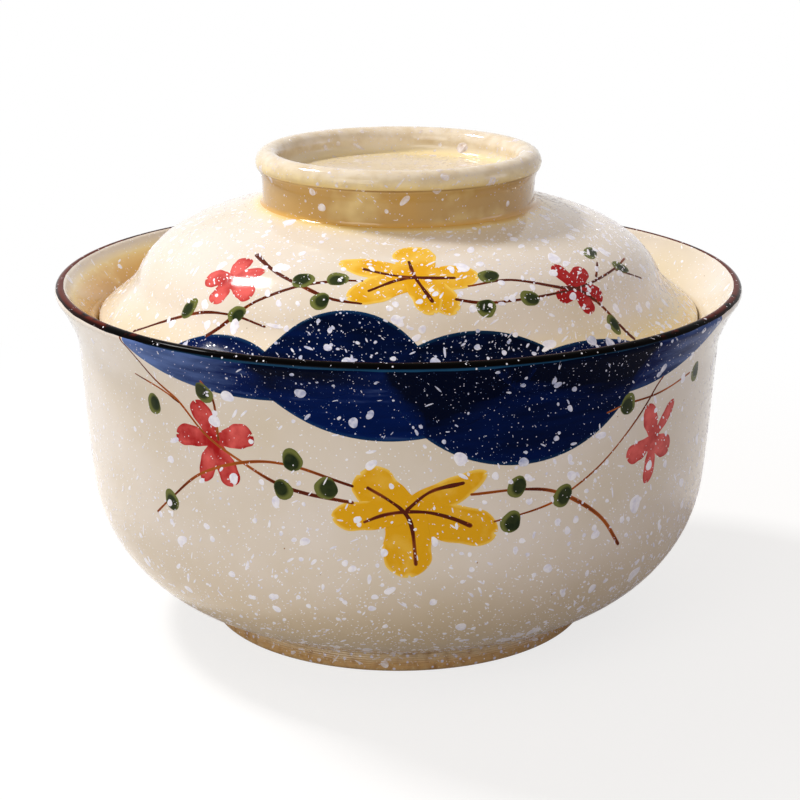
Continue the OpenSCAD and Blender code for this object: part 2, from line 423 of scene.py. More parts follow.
class BOWL_PG_spatter(PropertyGroup):
    """Amount of the spattered white glaze"""

    seed: IntProperty(name="Seed", description="Seed of the spatter and of the brush's wobble",
                      default=8, min=0)
    fine: per_area("Fine drops", "Fine drops per square centimetre", 25)
    middling: per_area("Middling drops", "Middling drops per square centimetre", 4.4)
    large: per_area("Large drops", "Large drops per square centimetre", 0.95)
    fine_r: size("Fine drop", "Usual radius of a fine drop", 0.16)
    middling_r: size("Middling drop", "Usual radius of a middling drop", 0.45)
    large_r: size("Large drop", "Usual radius of a large drop", 1.0)


def heading(turn):
    """Unit step in a direction, in radians from outwards towards upwards."""
    return np.array([np.cos(turn), np.sin(turn)])


def arc(centre, radius, start, end):
    """Rounded edge: points at a radius from a centre, from one angle to another."""
    turn = np.linspace(start, end, EDGE_STEPS + 1)
    return centre + radius * np.stack([np.cos(turn), np.sin(turn)], 1)


def curve(a, b, pull, shift=(0, 0)):
    """Cubic curve between two stations, each a point and the direction in which the outline passes it.

    Its inner control points lie along those directions at a share of the stations' distance.
    The curve is moved to its left by a distance that goes from shift[0] to shift[1].
    """
    reach = np.linalg.norm(b[0] - a[0])
    first = a[0] + reach * pull[0] * heading(a[1])
    second = b[0] - reach * pull[1] * heading(b[1])
    t = np.linspace(0, 1, CURVE_STEPS + 1)[:, None]
    line = (1 - t) ** 3 * a[0] + 3 * t * (1 - t) ** 2 * first + 3 * t * t * (1 - t) * second + t ** 3 * b[0]
    slope = (1 - t) ** 2 * (first - a[0]) + 2 * t * (1 - t) * (second - first) + t * t * (b[0] - second)
    left = np.stack([-slope[:, 1], slope[:, 0]], 1) / np.linalg.norm(slope, axis=1)[:, None]
    return line + (shift[0] + (shift[1] - shift[0]) * t) * left


def moved_left(station, distance):
    """A station moved to the left of its own direction."""
    return station[0] + distance * heading(station[1] + UPRIGHT), station[1]


def joined(*lines):
    """Lines joined end to start, without points that repeat the one before."""
    points = np.concatenate(lines)
    step = np.linalg.norm(np.diff(points, axis=0), axis=1)
    return points[np.concatenate([[True], step > SAME_POINT])]


def straight(start, end, steps):
    """Straight line between two points."""
    return np.linspace(start, end, steps + 1)


def bowl_stations(bowl):
    """Stations of the bowl's outside, from the foot up to the lip, and the middle and radius of its lip."""
    lip_r = bowl.lip_t / 2 - COAT_ROOM
    lip_centre = np.array([(bowl.rim_d - bowl.lip_t) / 2, bowl.height - bowl.lip_t / 2])
    foot = np.array([bowl.foot_d / 2, bowl.foot_h]), bowl.belly_slope
    belly = np.array([bowl.belly_d / 2, bowl.belly_z]), UPRIGHT - bowl.belly_lean
    waist = np.array([bowl.waist_d / 2, bowl.height - bowl.lip_h]), UPRIGHT - bowl.waist_lean
    lip = lip_centre + lip_r * heading(-bowl.lip_lean), UPRIGHT - bowl.lip_lean
    return foot, belly, waist, lip, lip_centre, lip_r


def bowl_outline(bowl):
    """Outline of the bowl with the outside on its left: floor, inside, lip, outside and underside."""
    foot, belly, waist, lip, lip_centre, lip_r = bowl_stations(bowl)
    floor = np.array([0, bowl.foot_h + bowl.floor_t]), 0
    inner_belly = moved_left(belly, bowl.wall_t)
    inner_waist = moved_left(waist, bowl.wall_t)
    inner_lip = moved_left(lip, 2 * lip_r)
    return joined(
        curve(floor, inner_belly, FLOOR_PULL),
        curve(inner_belly, inner_waist, WALL_PULL),
        curve(inner_waist, inner_lip, MOUTH_PULL),
        arc(lip_centre, lip_r, np.pi - bowl.lip_lean, -bowl.lip_lean),
        curve(waist, lip, FLARE_PULL)[::-1],
        curve(belly, waist, WALL_PULL)[::-1],
        curve(foot, belly, BELLY_PULL)[::-1],
        straight(foot[0], np.array([0, bowl.foot_h]), EDGE_STEPS),
    )


def foot_outline(bowl):
    """Closed outline of the foot ring: ridged outer wall, rounded bottom edges, inner wall.

    The outer wall starts in a hollow fillet under the belly, and its ridges are a sine in height
    that fades out towards the bottom edge.
    """
    radius = bowl.foot_d / 2
    inner = radius - bowl.foot_t
    edge = bowl.foot_edge
    fillet = bowl.foot_fillet
    rise = fillet * np.tan(bowl.belly_slope)
    hollow = arc(np.array([radius + fillet, bowl.foot_h - fillet + rise]), fillet, UPRIGHT, np.pi)
    height = np.linspace(hollow[-1, 1], edge, 3 * EDGE_STEPS)
    fade = np.clip((height - edge) / (hollow[-1, 1] - edge), 0, 1)
    ridges = bowl.ridge_depth * fade * np.sin(TURN * (hollow[-1, 1] - height) / bowl.ridge_pitch)
    wall = np.stack([radius - np.abs(ridges), height], 1)
    return joined(
        hollow,
        wall,
        arc(np.array([radius - edge, edge]), edge, 0, -UPRIGHT),
        arc(np.array([inner + edge, edge]), edge, -UPRIGHT, -np.pi),
        straight(np.array([inner, edge]), np.array([inner, bowl.foot_h]), 4),
    )


def lid_stations(bowl, lid):
    """Stations of the lid's outside, from the middle out to the brim, and the middle of its brim."""
    brim_r = lid.brim_t / 2
    seat_z = bowl.height - bowl.lip_h + lid.seat_rise
    brim_centre = np.array([lid.brim_d / 2 - brim_r, seat_z])
    neck_z = seat_z + lid.neck_rise
    crown = np.array([0, neck_z + lid.crown_rise]), 0
    neck = np.array([lid.neck_d / 2, neck_z]), -lid.neck_slope
    shoulder_r = lid.brim_d / 2 - lid.shoulder_inset
    shoulder = np.array([shoulder_r, seat_z + lid.shoulder_rise]), -lid.shoulder_slope
    brim = brim_centre + brim_r * heading(UPRIGHT - lid.brim_slope), -lid.brim_slope
    return crown, neck, shoulder, brim, brim_centre


def lid_outline(bowl, lid):
    """Outline of the lid with the outside on its left: dome, brim and hollow."""
    crown, neck, shoulder, brim, brim_centre = lid_stations(bowl, lid)
    return joined(
        curve(crown, neck, CROWN_PULL),
        curve(neck, shoulder, DOME_PULL),
        curve(shoulder, brim, BRIM_PULL),
        arc(brim_centre, lid.brim_t / 2, UPRIGHT - lid.brim_slope, -UPRIGHT - lid.brim_slope),
        curve(shoulder, brim, BRIM_PULL, (-lid.dome_t, -lid.brim_t))[::-1],
        curve(neck, shoulder, DOME_PULL, (-lid.dome_t, -lid.dome_t))[::-1],
        curve(crown, neck, CROWN_PULL, (-lid.dome_t, -lid.dome_t))[::-1],
    )


def knob_outline(bowl, lid):
    """Outline of the knob ring with the outside on its left: dish, rolled edge, side and underside.

    The rolled edge ends in a crease over the side. The side ends in a hollow fillet on the dome, and the
    underside follows the dome, sunk by half the fillet.
    """
    crown, neck, *_ = lid_stations(bowl, lid)
    roll_r = lid.roll_t / 2
    skin_r = roll_r - COAT_ROOM
    roll_centre = np.array([lid.knob_d / 2 - roll_r, lid.knob_top - roll_r])
    crease = roll_centre + skin_r * heading(-lid.crease_angle) - np.array([lid.crease_t, 0])
    dish_r = roll_centre[0] - skin_r
    dish_z = lid.knob_top - lid.dish_depth
    corner = np.array([dish_r - lid.dish_fillet, dish_z + lid.dish_fillet])
    fillet = lid.neck_fillet
    side_foot = neck[0] + np.array([0, fillet])
    drop = fillet * np.tan(lid.neck_slope)
    side = curve((side_foot, UPRIGHT), (crease, UPRIGHT - lid.crease_angle), KNOB_PULL)
    hollow = arc(neck[0] + np.array([fillet, fillet - drop]), fillet, np.pi, np.pi + UPRIGHT)
    return joined(
        straight(np.array([0, dish_z]), corner - np.array([0, lid.dish_fillet]), EDGE_STEPS),
        arc(corner, lid.dish_fillet, -UPRIGHT, 0),
        arc(roll_centre, skin_r, np.pi, -lid.crease_angle),
        side[::-1],
        hollow,
        curve(crown, neck, CROWN_PULL, (-fillet / 2, -fillet / 2))[::-1],
    )


class Skin:
    """Outline of a turned piece, with the outside on its left, as a ground to paint on.

    A place is an angle from the front in degrees and a distance along the outline from its
    zero point in millimetres. A lift is a height over the surface in millimetres.
    """

    def __init__(self, outline, zero):
        step = np.linalg.norm(np.diff(outline, axis=0), axis=1)
        along = np.concatenate([[0], np.cumsum(step)])
        slope = np.gradient(outline, along, axis=0)
        slope /= np.linalg.norm(slope, axis=1)[:, None]
        self.along = (along - along[zero]) / MM
        self.outline = outline
        self.normal = np.stack([-slope[:, 1], slope[:, 0]], 1)

    def radius(self, along):
        """Radius of the piece in millimetres at a distance along the outline."""
        return np.interp(along, self.along, self.outline[:, 0]) / MM

    def place(self, angle, along, lift):
        """Points over the surface: the outline's point moved out along its normal, turned about the axis."""
        turn = np.radians(angle)
        r, z = (np.interp(along, self.along, column) for column in self.outline.T)
        normal_r, normal_z = (np.interp(along, self.along, column) for column in self.normal.T)
        radius = r + lift * MM * normal_r
        return np.stack([radius * np.sin(turn), -radius * np.cos(turn), z + lift * MM * normal_z], -1)

    def spread(self, centre, right, down):
        """Places at a distance to the right of and down from a centre, in millimetres along the surface."""
        along = centre[1] + down
        return centre[0] + np.degrees(right / self.radius(along)), along


def bowl_skin(bowl):
    """The bowl as a ground: distances run down the outside from the rim's crest, and are negative inside."""
    outline = bowl_outline(bowl)
    return Skin(outline, outline[:, 1].argmax())


def lid_skin(bowl, lid):
    """The lid as a ground: distances count out from the neck of the knob."""
    return Skin(lid_outline(bowl, lid), CURVE_STEPS)


def knob_skin(bowl, lid):
    """The knob as a ground: distances count out from the middle of the dish."""
    return Skin(knob_outline(bowl, lid), 0)


def foot_skin(bowl):
    """The foot ring as a ground: distances count down its outside from the belly."""
    return Skin(foot_outline(bowl), 0)


def quads(index):
    """Faces of a grid of point numbers, facing rows crossed with columns."""
    return np.stack([index[:-1, :-1], index[1:, :-1], index[1:, 1:], index[:-1, 1:]], -1).reshape(-1, 4)


def revolve(outline, closed=False):
    """Points and faces of a turned surface: each outline point (r, z) is a ring (r sin a, -r cos a, z).

    A point on the axis becomes one pole. A closed outline joins its last ring to its first.
    The third value says which outline point each point of the surface comes from.
    """
    on_axis = outline[:, 0] < ON_AXIS
    rings = outline[~on_axis]
    turn = np.arange(AROUND) * TURN / AROUND
    radius, height = rings[:, :1], rings[:, 1:]
    points = np.stack([radius * np.sin(turn), -radius * np.cos(turn), height + 0 * turn], -1).reshape(-1, 3)
    index = np.arange(len(points)).reshape(-1, AROUND)
    index = np.concatenate([index, index[:, :1]], 1)
    if closed:
        index = np.concatenate([index, index[:1]])
    faces = quads(index).tolist()
    poles = outline[on_axis]
    if len(poles):
        first = np.full(AROUND, len(points))
        last = first + 1
        faces += np.stack([first, index[0, :-1], index[0, 1:]], 1).tolist()
        faces += np.stack([index[-1, :-1], last, index[-1, 1:]], 1).tolist()
        points = np.concatenate([points, np.stack([0 * poles[:, 0], 0 * poles[:, 0], poles[:, 1]], 1)])
    return points, faces, np.concatenate([np.nonzero(~on_axis)[0].repeat(AROUND), np.nonzero(on_axis)[0]])


def coat(skin, angle, along, lift, edge, tone, wrap=False):
    """Closed thin coat over a grid of places: a raised top, and a border and an underside sunk in the glaze.

    Edge is the distance in millimetres in from the coat's outline, and tone its strength.
    A wrapped grid goes right round the piece, so that only its first and last rows are border.
    """
    border = np.ones(angle.shape, bool)
    border[1:-1, slice(None) if wrap else slice(1, -1)] = False
    top = skin.place(angle, along, np.where(border, -SINK, lift))
    under = skin.place(angle, along, np.full(angle.shape, -SINK))[~border]
    upper = np.arange(angle.size).reshape(angle.shape)
    lower = upper.copy()
    lower[~border] = angle.size + np.arange(len(under))
    if wrap:
        upper = np.concatenate([upper, upper[:, :1]], 1)
        lower = np.concatenate([lower, lower[:, :1]], 1)
    faces = np.concatenate([quads(upper), quads(lower)[:, ::-1]])
    values = [np.broadcast_to(v, angle.shape) for v in (edge, tone)]
    edge, tone = (np.concatenate([v.ravel(), v[~border]]) for v in values)
    return np.concatenate([top.reshape(-1, 3), under]), faces, edge, tone


def eased(count):
    """Numbers from 0 to 1 that are closer together towards both ends."""
    return (1 - np.cos(np.linspace(0, np.pi, count))) / 2


def through(places, t):
    """Smooth line through places: a cubic on each stretch.

    Its slope at a place is half the way from the place before to the place after.
    """
    places = np.array(places, float)
    ends = np.concatenate([2 * places[:1] - places[1:2], places, 2 * places[-1:] - places[-2:-1]])
    at = t * (len(places) - 1)
    i = np.minimum(at.astype(int), len(places) - 2)
    f = (at - i)[:, None]
    a, b, c, d = (ends[i + k] for k in range(4))
    return b + 0.5 * f * (c - a + f * (2 * a - 5 * b + 4 * c - d + f * (3 * (b - c) + d - a)))


def stroke(skin, places, widths, load, rng, rows=64, columns=9):
    """Brush stroke: a smooth line with a half width across it, round ends and a domed section.

    The width goes from the first value to the second and swells and wobbles on the way.
    Tone is how loaded the brush was, which drifts along the stroke.
    """
    t = eased(rows)
    angle, along = through(places, t).T
    radius = skin.radius(along)
    step = np.stack([radius * np.radians(np.gradient(angle)), np.gradient(along)], 1)
    length = np.concatenate([[0], np.cumsum(np.linalg.norm(step[1:], axis=1))])
    step /= np.linalg.norm(step, axis=1)[:, None]
    phase = rng.uniform(0, TURN, 2)
    swell = 1 + 0.12 * np.sin(9 * t + phase[0]) + 0.07 * np.sin(23 * t + phase[1])
    half = 0.5 * (widths[0] + (widths[1] - widths[0]) * t) * swell
    from_end = np.minimum(length, length[-1] - length)
    cap = np.clip(from_end / half, 0.02, 1)
    half = (half * np.sqrt(1 - (1 - cap) ** 2))[:, None]
    across = np.sin(np.linspace(-UPRIGHT, UPRIGHT, columns))
    grid_along = along[:, None] - step[:, :1] * half * across
    grid_angle = angle[:, None] + np.degrees(step[:, 1:] * half * across / radius[:, None])
    edge = half * (1 - np.abs(across))
    tone = load + 0.3 * np.sin(7 * t + phase[1]) + 0.2 * np.sin(17 * t + phase[0])
    lift = VINE_LIFT * (1 - 0.25 * across ** 2) + 0 * half
    return coat(skin, grid_angle, grid_along, lift, edge, tone[:, None])


def petal(skin, centre, shape, form, load, lift, rng, rows=34, columns=15):
    """One dab of the brush from a flower's middle outwards.

    Its half width is root times the full one at the flower's middle and full a little past half the length.
    Its end closes as a round that is pointed or blunt, which a notch draws back in the middle.
    The dab bends a little to one side. Tone is how loaded the brush was. Near the flower's middle the
    dabs ran together, so that the tone is higher there and no edge shows.
    """
    direction, length, width, blunt = shape
    root, notch = form
    t = eased(rows)[:, None]
    u = np.sin(np.linspace(-UPRIGHT, UPRIGHT, columns))
    widest = 0.4 + 0.08 * blunt
    swell = root + (1 - root) * np.sin(UPRIGHT * np.minimum(t / widest, 1)) ** 1.4
    beyond = np.clip((t - widest) / (1 - widest), 0, 0.999)
    closing = np.sqrt(1 - beyond ** blunt)
    opening = np.sqrt(1 - (1 - np.clip(t / 0.08, 0.02, 1)) ** 2)
    phase = rng.uniform(0, TURN, 3)
    ragged = 1 + 0.05 * np.sin(8 * t + phase[0] + 2 * u) + 0.03 * np.sin(19 * t + phase[1])
    half = width / 2 * swell * closing * opening * ragged
    bend = rng.uniform(-0.08, 0.08) * length
    drawn = 1 - notch * np.exp(-((u - 0.25 * np.sin(phase[2])) / 0.6) ** 2) * t ** 3
    forward = length * t * drawn
    sideways = half * u + bend * t ** 2
    turn = np.radians(direction)
    right = forward * np.sin(turn) - sideways * np.cos(turn)
    down = -forward * np.cos(turn) - sideways * np.sin(turn)
    angle, along = skin.spread(centre, right, down)
    merged = np.clip(1 - t / 0.45, 0, 1)
    edge = np.minimum(half * (1 - np.abs(u)), length * (1 - t)) + NO_EDGE * merged
    return coat(skin, angle, along, lift + 0 * angle, edge, load + 0.5 * merged)


def leaf(skin, centre, direction, length, width, rng, rows=18, columns=13):
    """Rounded dab: an ellipse drawn a little towards a point at one end.

    The enamel ran together at a place off its middle. Edge is half the width there, and falls evenly
    to 0 at half a leaf's size from it.
    """
    x = np.sin(np.linspace(-NEAR_UPRIGHT, NEAR_UPRIGHT, rows))[:, None]
    u = np.sin(np.linspace(-UPRIGHT, UPRIGHT, columns))
    phase = rng.uniform(0, TURN)
    half = width / 2 * np.sqrt(1 - x ** 2) * (1 - 0.14 * x) * (1 + 0.04 * np.sin(5 * x + phase))
    turn = np.radians(direction)
    forward = length / 2 * x
    right = forward * np.sin(turn) - half * u * np.cos(turn)
    down = -forward * np.cos(turn) - half * u * np.sin(turn)
    angle, along = skin.spread(centre, right, down)
    side = rng.uniform(0, TURN)
    out = np.hypot(x - LEAF_LEAN * np.cos(side), u * np.sqrt(1 - x ** 2) - LEAF_LEAN * np.sin(side))
    return coat(skin, angle, along, LEAF_LIFT + 0 * angle, np.maximum(1 - out, 0) * width / 2, 0)


def wash_depth(angle, shape):
    """Depth of one round wash at an angle: half an ellipse, and nothing outside it."""
    middle, half, depth = shape[:3]
    return depth * np.sqrt(np.maximum(1 - ((angle - middle) / half) ** 2, 0))


def wash_tone(angle, shape):
    """Strength of one wash at an angle, which goes evenly from its left end's value to its right end's."""
    middle, half, _, left, right = shape
    return left + (right - left) * np.clip(0.5 + (angle - middle) / half / 2, 0, 1)


def wash_coat(skin, angle, depth, top, direction, strength, over=False, rows=64):
    """Coat that fills the band from a top edge to a depth that changes with the angle.

    A quarter of its rows lie close together under the top edge, and the outermost lie close to the border.
    Where it is a second wash over the first, it has no edge of its own and deepens inwards.
    """
    v = np.linspace(0, 1, rows)[:, None]
    knee = np.minimum(LIP_REACH, depth / 2)
    below = np.where(v < 0.25, 4 * v * knee, knee + (depth - knee) * (4 * v - 1) / 3)
    below[1] = 0.01 * knee
    below[-2] = depth - 0.01 * knee
    along = top + direction * below
    edge = NO_EDGE if over else depth - below
    inside = np.clip((depth - below) / OVERLAP_REACH, 0, 1)
    tone = strength + over * inside ** 2 * (3 - 2 * inside)
    lift = OVERLAP_LIFT if over else COBALT_LIFT
    flip = slice(None, None, direction)
    made = (np.broadcast_to(value, along.shape)[flip] for value in (angle, along, lift, edge, tone))
    return coat(skin, *made)


def washes(skin, shapes, top, direction, turned):
    """A row of round cobalt washes and the darker places where neighbours overlap."""
    made = []
    for shape in shapes:
        angle = shape[0] + shape[1] * np.sin(np.linspace(-NEAR_UPRIGHT, NEAR_UPRIGHT, WASH_COLUMNS))
        depth = wash_depth(angle, shape)
        made.append(wash_coat(skin, angle + turned, depth, top, direction, wash_tone(angle, shape)))
    for a, b in zip(shapes, shapes[1:]):
        start = b[0] - b[1]
        end = a[0] + a[1]
        angle = start + (end - start) * eased(OVERLAP_COLUMNS + 2)[1:-1]
        deep_a = wash_depth(angle, a)
        deep_b = wash_depth(angle, b)
        shared = np.minimum(deep_a, deep_b)
        beside = np.where(deep_a < deep_b, wash_tone(angle, b), wash_tone(angle, a))
        made.append(wash_coat(skin, angle + turned, shared, top, direction, beside, over=True))
    return made


def covered(angle, along, shapes, top, direction):
    """True at the places that a row of washes covers, on the front or on the back."""
    front = (angle + 90) % 180 - 90
    depth = np.max([wash_depth(front, shape) for shape in shapes], axis=0)
    below = direction * (along - top)
    return (below > 0) & (below < depth)


def drops(skin, rng, span, weight, flight, cobalt, density, radius, shape):
    """White glaze drops: ellipses with an uneven outline, a sunk border and a flat top.

    They are scattered over a stretch of skin, so many to a square centimetre times a weight that
    changes along it. Their radii vary by a factor with a normal logarithm. Fast drops are drawn
    out along the way they flew, which leans to one side on the left half and to the other on the right.
    Their heights differ by the golden ratio's steps, so that no two overlapping tops lie in one plane.
    The third value is 1 on the drops through which the ground shows: those on cobalt, or all of them
    where there is no cobalt.
    """
    spread, longest, sides = shape
    line = np.linspace(*span, DROP_STEPS)
    share = np.cumsum(TURN * skin.radius(line) * weight(line)) * (line[1] - line[0]) / 100
    count = int(density * share[-1])
    along = np.interp(rng.random(count), share / share[-1], line)[:, None]
    even = rng.uniform(-180, 180, count)[:, None]
    angle = even + DRIFT * np.cos(np.radians(even))
    half = np.clip(radius / MM * np.exp(rng.normal(0, spread, count)), *DROP_RADII)[:, None]
    stretch = (1 + (longest - 1) * rng.random(count) ** 3)[:, None]
    flown = np.sign(np.sin(np.radians(angle))) * flight + rng.normal(0, FLIGHT_SPREAD, (count, 1))
    turn = np.radians(flown)
    around = np.arange(sides) * TURN / sides
    uneven = 1 + 0.1 * np.sin(2 * around + TURN * rng.random((count, 1)))
    uneven = uneven + 0.06 * np.sin(3 * around + TURN * rng.random((count, 1)))
    long_way = half * np.sqrt(stretch) * uneven * np.cos(around)
    short_way = half / np.sqrt(stretch) * uneven * np.sin(around)
    right = long_way * np.sin(turn) + short_way * np.cos(turn)
    down = -long_way * np.cos(turn) + short_way * np.sin(turn)
    radius_here = skin.radius(along)
    height = DROP_LIFT * (0.8 + 0.4 * (np.arange(count) * GOLDEN % 1))[:, None]
    rings = []
    for share_out, lift in ((1, -SINK), (0.8, height)):
        ahead = radius_here + share_out * down
        aside = share_out * right
        turned = np.degrees(np.arctan2(aside, ahead))
        rings.append(skin.place(angle + turned, along + np.hypot(ahead, aside) - radius_here, lift))
    points = np.concatenate([*rings, skin.place(angle, along, height)], 1)
    first = (np.arange(count) * points.shape[1])[:, None]
    ring = first + np.arange(sides)
    following = first + (np.arange(sides) + 1) % sides
    wall = np.stack([ring, following, following + sides, ring + sides], -1).reshape(-1, 4)
    top = np.stack([ring + sides, following + sides, first + 2 * sides + 0 * ring], -1).reshape(-1, 3)
    shows = covered(angle, along, *cobalt) if cobalt else np.ones((count, 1))
    shows = np.repeat(shows, points.shape[1])
    return points.reshape(-1, 3), wall.tolist() + top.tolist() + ring[:, ::-1].tolist(), shows


def add_piece(name, points, faces, material, body, values, smooth=True):
    """A mesh piece at the origin that rides on a body and takes the material that it is given.

    The values are numbers that its points carry for its material.
    """
    mesh = bpy.data.meshes.new(name)
    mesh.from_pydata(points.tolist(), [], faces)
    for key, value in values.items():
        mesh.attributes.new(key, "FLOAT", "POINT").data.foreach_set("value", value.astype(np.float32))
    mesh.polygons.foreach_set("use_smooth", np.full(len(faces), smooth))
    mesh.materials.append(material)
    if mesh.validate():
        raise RuntimeError(f"{name} has faces that are not sound")
    piece = bpy.data.objects.new(name, mesh)
    bpy.context.scene.collection.objects.link(piece)
    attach(piece, body)
    return piece


def add_turned(name, skin, pools, material, body, node, shade_drift=0, closed=False):
    """A turned piece in place of a CAD node, which carries at each point how much glaze pooled there.

    That follows the outline, and goes evenly up to the left and down to the right by a share, which paints
    shade into the side of the piece that lies in shade.
    """
    points, faces, source = revolve(skin.outline, closed)
    leftwards = -points[:, 0] / points[:, 0].max()
    pool = np.interp(skin.along, *zip(*pools))[source] * (1 + shade_drift * leftwards)
    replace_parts(add_piece(name, points, faces, material, body, {"pool": pool}), node)


def add_coats(name, coats, material, body):
    """Coats of one paint on one body, as one piece."""
    start = np.cumsum([0] + [len(c[0]) for c in coats[:-1]])
    points, edge, tone = (np.concatenate([c[i] for c in coats]) for i in (0, 2, 3))
    faces = np.concatenate([c[1] + first for c, first in zip(coats, start)]).tolist()
    add_piece(name, points, faces, material, body, {"edge": edge, "tone": tone})


def add(tree, kind, inputs=None, output=0, **settings):
    """Adds a shader node with its settings, sets or links its inputs, and gives back one of its outputs."""
    made = tree.nodes.new("ShaderNode" + kind)
    for key, value in settings.items():
        setattr(made, key, value)
    for key, value in (inputs or {}).items():
        socket = made.inputs[key]
        if isinstance(value, bpy.types.NodeSocket):
            tree.links.new(value, socket)
        else:
            socket.default_value = (*value, 1) if socket.type == "RGBA" else value
    return made.outputs[output] if made.outputs else None


def new_material(name):
    """A material without nodes, its tree, and the piece's own coordinates to draw on."""
    material = bpy.data.materials.get(name) or bpy.data.materials.new(name)
    material.use_nodes = True
    tree = material.node_tree
    tree.nodes.clear()
    return material, tree, add(tree, "TexCoord", output="Object")


def fired(tree, base, **glass):
    """Ends a material in one Principled shader with the gloss of fired glaze, or what differs from it."""
    gloss = {"Base Color": base, "IOR": 1.45, "Roughness": 0.1}
    gloss.update((key.replace("_", " "), value) for key, value in glass.items())
    add(tree, "OutputMaterial", {"Surface": add(tree, "BsdfPrincipled", gloss)})


def layered(tree, base, *layers):
    """Colour of a base under layers, each a share and the colour that covers what lies below it."""
    for share, tint in layers:
        base = add(tree, "Mix", {0: share, 6: base, 7: tint}, 2, data_type="RGBA")
    return base


def cloud(tree, where, millimetres, low, high, detail=3):
    """Share from 0 to 1 that drifts over the surface in clouds of a size, between two noise levels."""
    noise = add(tree, "TexNoise", {"Vector": where, "Scale": 1 / (millimetres * MM), "Detail": detail})
    return add(tree, "MapRange", {"Value": noise, "From Min": low, "From Max": high})


def dust(tree, where, millimetres, radius, share):
    """Share that is 1 in small round dots: the middles of cells of a size, in a share of the cells."""
    distance = add(tree, "TexVoronoi", {"Vector": where, "Scale": 1 / (millimetres * MM)}, "Distance")
    dot = add(tree, "MapRange", {"Value": distance, "From Min": radius, "From Max": 0.6 * radius})
    lot = add(tree, "SeparateColor", {0: distance.node.outputs["Color"]})
    chosen = add(tree, "Math", {0: lot, 1: share}, operation="LESS_THAN")
    return add(tree, "Math", {0: dot, 1: chosen}, operation="MULTIPLY")


def ripple(tree, where, millimetres, depth):
    """Normal of the glaze: soft waves of a size and a depth in millimetres."""
    noise = add(tree, "TexNoise", {"Vector": where, "Scale": 1 / (millimetres * MM), "Detail": 2})
    return add(tree, "Bump", {"Height": noise, "Distance": depth * MM, "Strength": 1})


def edge_share(tree, millimetres):
    """Share that goes from 1 at a coat's outline to 0 at a distance in from it."""
    edge = add(tree, "Attribute", output="Fac", attribute_name="edge")
    return add(tree, "MapRange", {"Value": edge, "From Min": millimetres, "From Max": EDGE_LINE})


def height_share(tree, where, start, end, most=1):
    """Share that eases from 0 to the most as the height goes from start to end, both in millimetres."""
    height = add(tree, "SeparateXYZ", {0: where}, "Z")
    return add(tree, "MapRange", {"Value": height, "From Min": start * MM, "From Max": end * MM,
                                  "To Max": most}, interpolation_type="SMOOTHSTEP")


def pooled(tree, where, millimetres):
    """Shares of a little and of much pooled glaze: the piece's own amount of it, broken up by clouds."""
    pool = add(tree, "Attribute", output="Fac", attribute_name="pool")
    pool = add(tree, "Math", {0: pool, 1: cloud(tree, where, millimetres, 0.05, 0.45)}, operation="MULTIPLY")
    thin = add(tree, "MapRange", {"Value": pool, "From Max": 0.5})
    return thin, add(tree, "MapRange", {"Value": pool, "From Min": 0.4})


def ivory_glaze(paint):
    """Ivory feldspar glaze on stoneware, fired glossy: cloudy cream, straw and honey where it pooled.

    Low on the belly it darkens to sand, and just above the foot to amber, which is painted shade of the
    belly as it turns under. Fine white dust of the spattered glaze and a few iron specks lie in it.
    """
    material, tree, where = new_material("ivory_glaze")
    thin, thick = pooled(tree, where, 12)
    base = layered(
        tree, paint.ivory,
        (cloud(tree, where, 22, 0.35, 0.75), paint.ivory_shade),
        # Painted shade: sand darkens the belly towards the bottom, and amber darkens it where it meets the
        # foot.
        (height_share(tree, where, 44, 14, 0.85), paint.sand),
        (height_share(tree, where, 9.5, 6.3, 0.7), paint.amber),
        (thin, paint.straw),
        (thick, paint.honey),
        (dust(tree, where, 1.1, 0.2, 0.6), paint.snow),
        (dust(tree, where, 4.5, 0.05, 0.25), paint.tan_dark),
    )
    rough = add(tree, "MapRange", {"Value": cloud(tree, where, 9, 0.3, 0.7), "To Min": 0.07, "To Max": 0.14})
    fired(tree, base, Roughness=rough, Normal=ripple(tree, where, 7, 0.05))
    return material


